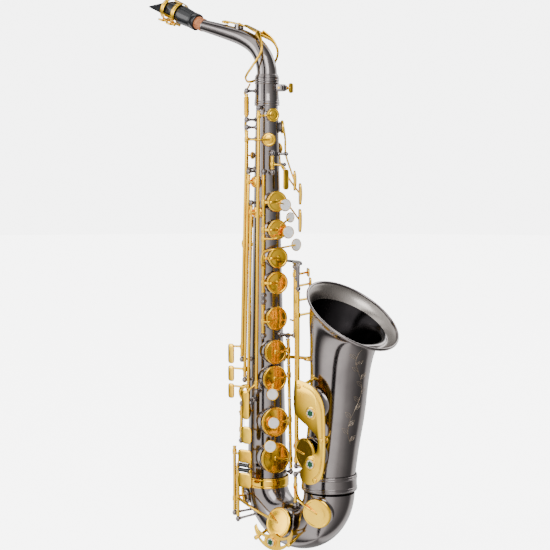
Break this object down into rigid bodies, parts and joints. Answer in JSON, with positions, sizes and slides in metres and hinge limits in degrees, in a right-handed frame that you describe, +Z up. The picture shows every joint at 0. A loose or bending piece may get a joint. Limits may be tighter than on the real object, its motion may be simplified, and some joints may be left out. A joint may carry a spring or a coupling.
{
  "type": "alto saxophone",
  "caption": "Curved woodwind with a conical body tube, flared bell, swivelling neck, mouthpiece and hinged lacquered keys.",
  "frame": {"origin": "centre of the neck strap ring, on the back of the body tube", "axes": "+Z up along the body tube, +X to the front where the bell is, -Y to the player's right"},
  "size_m": [0.3675, 0.1214, 0.6617],
  "materials": {
    "black_nickel": "polished black nickel plating with a soft sheen",
    "gold_lacquer": "polished brass under clear lacquer",
    "steel": "ground hinge steel",
    "ebonite": "polished black hard rubber",
    "cork": "sanded natural cork",
    "cane": "dry split cane",
    "pearl": "white shell pearl",
    "felt": "dense green felt",
    "pad_leather": "brown pad leather"
  },
  "bodies": {
    "b_key": {"b_key": "gold_lacquer"},
    "bis_key": {"bis_key": "gold_lacquer"},
    "a_key": {"a_key": "gold_lacquer"},
    "g_key": {"g_key": "gold_lacquer"},
    "f_sharp_key": {"f_sharp_key": "gold_lacquer"},
    "f_key": {"f_key": "gold_lacquer"},
    "e_key": {"e_key": "gold_lacquer"},
    "d_key": {"d_key": "gold_lacquer"},
    "g_sharp_key": {"g_sharp_key": "gold_lacquer"},
    "g_sharp_lever": {"g_sharp_lever": "gold_lacquer"},
    "high_f_sharp_key": {"high_f_sharp_key": "gold_lacquer"},
    "high_e_key": {"high_e_key": "gold_lacquer"},
    "side_c_key": {"side_c_key": "gold_lacquer"},
    "side_b_flat_key": {"side_b_flat_key": "gold_lacquer"},
    "trill_f_sharp_key": {"trill_f_sharp_key": "gold_lacquer"},
    "front_f_key": {"front_f_key": "gold_lacquer"},
    "octave_lever": {"octave_lever": "gold_lacquer"},
    "octave_vent_key": {"octave_vent_key": "gold_lacquer"},
    "low_e_flat_key": {"low_e_flat_key": "gold_lacquer"},
    "low_c_key": {"low_c_key": "gold_lacquer"},
    "low_c_sharp_key": {"low_c_sharp_key": "gold_lacquer"},
    "low_c_sharp_lever": {"low_c_sharp_lever": "gold_lacquer"},
    "low_b_key": {"low_b_key": "gold_lacquer"},
    "low_b_flat_key": {"low_b_flat_key": "gold_lacquer"},
    "palm_f_key": {"palm_f_key": "gold_lacquer"},
    "palm_d_key": {"palm_d_key": "gold_lacquer"},
    "palm_e_flat_key": {"palm_e_flat_key": "gold_lacquer"},
    "neck": {"neck": "black_nickel", "neck_cork": "cork"},
    "mouthpiece": {"mouthpiece": "ebonite", "reed": "cane", "ligature": "gold_lacquer"},
    "neck_octave_key": {"neck_octave_key": "gold_lacquer"},
    "neck_lock_screw": {"neck_lock_screw": "gold_lacquer"},
    "ligature_screw_front": {"ligature_screw_front": "gold_lacquer"},
    "ligature_screw_back": {"ligature_screw_back": "gold_lacquer"},
    "e_flat_roller": {"e_flat_roller": "ebonite"},
    "low_c_roller": {"low_c_roller": "ebonite"},
    "instrument": {"body_tube": "black_nickel", "neck_receiver": "black_nickel", "bow": "black_nickel", "bell": "black_nickel", "body_bow_ring": "gold_lacquer", "bell_bow_ring": "black_nickel", "bell_brace": "gold_lacquer", "bell_rod_bracket": "black_nickel", "bell_key_guard": "gold_lacquer", "low_c_guard": "gold_lacquer", "strap_ring": "gold_lacquer", "thumb_hook": "gold_lacquer", "thumb_rest": "gold_lacquer", "upper_stack_pin": "steel", "lower_stack_pin": "steel"}
  },
  "joints": [
    {"name": "b_key_hinge", "type": "hinge", "parent": "instrument", "child": "b_key", "pos_m": [0.04436, -0.02141, 0.015], "axis": [-0.012, 0.0207, 0.9997], "range_deg": [0, 10.6], "stiffness_Nm_per_rad": 0.05, "springref_deg": -20.05},
    {"name": "bis_key_hinge", "type": "hinge", "parent": "instrument", "child": "bis_key", "pos_m": [0.04436, -0.02141, 0.015], "axis": [-0.012, 0.0207, 0.9997], "range_deg": [0, 10.6], "stiffness_Nm_per_rad": 0.05, "springref_deg": -20.05},
    {"name": "a_key_hinge", "type": "hinge", "parent": "instrument", "child": "a_key", "pos_m": [0.04436, -0.02141, 0.015], "axis": [-0.012, 0.0207, 0.9997], "range_deg": [0, 10.6], "stiffness_Nm_per_rad": 0.05, "springref_deg": -20.05},
    {"name": "g_key_hinge", "type": "hinge", "parent": "instrument", "child": "g_key", "pos_m": [0.04436, -0.02141, 0.015], "axis": [-0.012, 0.0207, 0.9997], "range_deg": [0, 10.6], "stiffness_Nm_per_rad": 0.05, "springref_deg": -20.05},
    {"name": "f_sharp_key_hinge", "type": "hinge", "parent": "instrument", "child": "f_sharp_key", "pos_m": [0.06123, 0.00729, -0.19], "axis": [-0.0232, -0.0058, 0.9997], "range_deg": [-8.6, 0], "stiffness_Nm_per_rad": 0.05, "springref_deg": 20.05},
    {"name": "f_key_hinge", "type": "hinge", "parent": "instrument", "child": "f_key", "pos_m": [0.06123, 0.00729, -0.19], "axis": [-0.0232, -0.0058, 0.9997], "range_deg": [-8.6, 0], "stiffness_Nm_per_rad": 0.05, "springref_deg": 20.05},
    {"name": "e_key_hinge", "type": "hinge", "parent": "instrument", "child": "e_key", "pos_m": [0.06123, 0.00729, -0.19], "axis": [-0.0232, -0.0058, 0.9997], "range_deg": [-8.6, 0], "stiffness_Nm_per_rad": 0.05, "springref_deg": 20.05},
    {"name": "d_key_hinge", "type": "hinge", "parent": "instrument", "child": "d_key", "pos_m": [0.06123, 0.00729, -0.19], "axis": [-0.0232, -0.0058, 0.9997], "range_deg": [-8.6, 0], "stiffness_Nm_per_rad": 0.05, "springref_deg": 20.05},
    {"name": "g_sharp_key_hinge", "type": "hinge", "parent": "instrument", "child": "g_sharp_key", "pos_m": [0.04557, -0.02351, -0.086], "axis": [-0.012, 0.0207, 0.9997], "range_deg": [-8, 0], "stiffness_Nm_per_rad": 0.05, "springref_deg": 20.05},
    {"name": "g_sharp_lever_hinge", "type": "hinge", "parent": "instrument", "child": "g_sharp_lever", "pos_m": [0.076, -0.001, -0.0645], "axis": [0, 0, 1], "range_deg": [0, 4], "stiffness_Nm_per_rad": 0.05, "springref_deg": -20.05},
    {"name": "high_f_sharp_key_hinge", "type": "hinge", "parent": "instrument", "child": "high_f_sharp_key", "pos_m": [0.04024, -0.02696, -0.0045], "axis": [-0.007, 0.0229, 0.9997], "range_deg": [-7, 0], "stiffness_Nm_per_rad": 0.05, "springref_deg": 20.05},
    {"name": "high_e_key_hinge", "type": "hinge", "parent": "instrument", "child": "high_e_key", "pos_m": [0.0173, -0.02446, 0.002], "axis": [0.0123, 0.0205, 0.9997], "range_deg": [-6, 0], "stiffness_Nm_per_rad": 0.05, "springref_deg": 20.05},
    {"name": "side_c_key_hinge", "type": "hinge", "parent": "instrument", "child": "side_c_key", "pos_m": [0.02244, -0.02626, -0.036], "axis": [0.0082, 0.0225, 0.9997], "range_deg": [-7, 0], "stiffness_Nm_per_rad": 0.05, "springref_deg": 20.05},
    {"name": "side_b_flat_key_hinge", "type": "hinge", "parent": "instrument", "child": "side_b_flat_key", "pos_m": [0.02815, -0.02741, -0.0665], "axis": [0.0033, 0.0237, 0.9997], "range_deg": [-6, 0], "stiffness_Nm_per_rad": 0.05, "springref_deg": 20.05},
    {"name": "trill_f_sharp_key_hinge", "type": "hinge", "parent": "instrument", "child": "trill_f_sharp_key", "pos_m": [0.01644, -0.02927, -0.212], "axis": [0.0112, 0.0211, 0.9997], "range_deg": [0, 7], "stiffness_Nm_per_rad": 0.05, "springref_deg": -20.05},
    {"name": "front_f_key_hinge", "type": "hinge", "parent": "instrument", "child": "front_f_key", "pos_m": [0.05021, -0.01183, 0.099], "axis": [-0.02, 0.013, 0.9997], "range_deg": [0, 4], "stiffness_Nm_per_rad": 0.05, "springref_deg": -20.05},
    {"name": "octave_lever_hinge", "type": "hinge", "parent": "instrument", "child": "octave_lever", "pos_m": [0.01766, -0.02048, 0.1665], "axis": [0, 0, 1], "range_deg": [0, 4], "stiffness_Nm_per_rad": 0.05, "springref_deg": -20.05},
    {"name": "octave_vent_key_hinge", "type": "hinge", "parent": "instrument", "child": "octave_vent_key", "pos_m": [0.01362, -0.01543, 0.109], "axis": [0, 0, 1], "range_deg": [0, 7], "stiffness_Nm_per_rad": 0.05, "springref_deg": -20.05},
    {"name": "low_e_flat_key_hinge", "type": "hinge", "parent": "instrument", "child": "low_e_flat_key", "pos_m": [0.01, -0.0345, -0.28], "axis": [0, 0, 1], "range_deg": [0, 7], "stiffness_Nm_per_rad": 0.05, "springref_deg": -20.05},
    {"name": "low_c_key_hinge", "type": "hinge", "parent": "instrument", "child": "low_c_key", "pos_m": [0.018, -0.0375, -0.2945], "axis": [0, 0, 1], "range_deg": [0, 3.8], "stiffness_Nm_per_rad": 0.05, "springref_deg": -20.05},
    {"name": "low_c_sharp_key_hinge", "type": "hinge", "parent": "instrument", "child": "low_c_sharp_key", "pos_m": [0.092, -0.019, -0.286], "axis": [0, 0, 1], "range_deg": [-6, 0], "stiffness_Nm_per_rad": 0.05, "springref_deg": 20.05},
    {"name": "low_c_sharp_lever_hinge", "type": "hinge", "parent": "instrument", "child": "low_c_sharp_lever", "pos_m": [0.083, -0.007, -0.142], "axis": [0, 0, 1], "range_deg": [0, 5], "stiffness_Nm_per_rad": 0.05, "springref_deg": -20.05},
    {"name": "low_b_key_hinge", "type": "hinge", "parent": "instrument", "child": "low_b_key", "pos_m": [0.088, -0.0115, -0.141], "axis": [0, 0, 1], "range_deg": [0, 6.7], "stiffness_Nm_per_rad": 0.05, "springref_deg": -20.05},
    {"name": "low_b_flat_key_hinge", "type": "hinge", "parent": "instrument", "child": "low_b_flat_key", "pos_m": [0.093, -0.0155, -0.118], "axis": [0, 0, 1], "range_deg": [0, 6.7], "stiffness_Nm_per_rad": 0.05, "springref_deg": -20.05},
    {"name": "palm_f_key_hinge", "type": "hinge", "parent": "instrument", "child": "palm_f_key", "pos_m": [0.04712, 0.0168, 0.109], "axis": [0.7431, -0.6691, 0], "range_deg": [-6, 0], "stiffness_Nm_per_rad": 0.05, "springref_deg": 20.05},
    {"name": "palm_d_key_hinge", "type": "hinge", "parent": "instrument", "child": "palm_d_key", "pos_m": [0.03442, 0.02307, 0.096], "axis": [0.9945, -0.1045, 0], "range_deg": [-3, 0], "stiffness_Nm_per_rad": 0.05, "springref_deg": 20.05},
    {"name": "palm_e_flat_key_hinge", "type": "hinge", "parent": "instrument", "child": "palm_e_flat_key", "pos_m": [0.02301, 0.02225, 0.063], "axis": [0.9272, 0.3746, 0], "range_deg": [-6, 0], "stiffness_Nm_per_rad": 0.05, "springref_deg": 20.05},
    {"name": "neck_swivel", "type": "hinge", "parent": "instrument", "child": "neck", "pos_m": [0.032, 0, 0.199], "axis": [0, 0, 1], "range_deg": [-15, 15]},
    {"name": "mouthpiece_slide", "type": "slide", "parent": "neck", "child": "mouthpiece", "axis": [-0.9304, 0, 0.3665], "range_m": [0, 0.005]},
    {"name": "neck_octave_key_rock", "type": "hinge", "parent": "neck", "child": "neck_octave_key", "pos_m": [-0.012, 0, 0.2636], "axis": [0, 1, 0], "range_deg": [0, 3], "stiffness_Nm_per_rad": 0.05, "springref_deg": -20.05},
    {"name": "neck_lock_screw_turn", "type": "hinge", "parent": "instrument", "child": "neck_lock_screw", "pos_m": [0.0525, 0.01, 0.187], "axis": [0, 1, 0], "range_deg": [-180, 180]},
    {"name": "ligature_screw_front_turn", "type": "hinge", "parent": "mouthpiece", "child": "ligature_screw_front", "pos_m": [-0.12996, 0, 0.27335], "axis": [0, 1, 0], "range_deg": [-90, 90]},
    {"name": "ligature_screw_back_turn", "type": "hinge", "parent": "mouthpiece", "child": "ligature_screw_back", "pos_m": [-0.11693, 0, 0.26821], "axis": [0, 1, 0], "range_deg": [-90, 90]},
    {"name": "e_flat_roller_spin", "type": "hinge", "parent": "low_e_flat_key", "child": "e_flat_roller", "pos_m": [0.033, -0.043, -0.2606], "axis": [1, 0, 0], "continuous": true},
    {"name": "low_c_roller_spin", "type": "hinge", "parent": "low_c_key", "child": "low_c_roller", "pos_m": [0.033, -0.043, -0.2666], "axis": [1, 0, 0], "continuous": true}
  ],
  "couplings": [
    {"joint": "g_sharp_key_hinge", "follows": "g_sharp_lever_hinge", "ratio": -2},
    {"joint": "low_c_sharp_key_hinge", "follows": "low_c_sharp_lever_hinge", "ratio": -1.2},
    {"joint": "octave_vent_key_hinge", "follows": "octave_lever_hinge", "ratio": 1.6},
    {"joint": "f_sharp_key_hinge", "follows": "f_key_hinge", "ratio": 1},
    {"joint": "palm_f_key_hinge", "follows": "front_f_key_hinge", "ratio": -1.4}
  ]
}
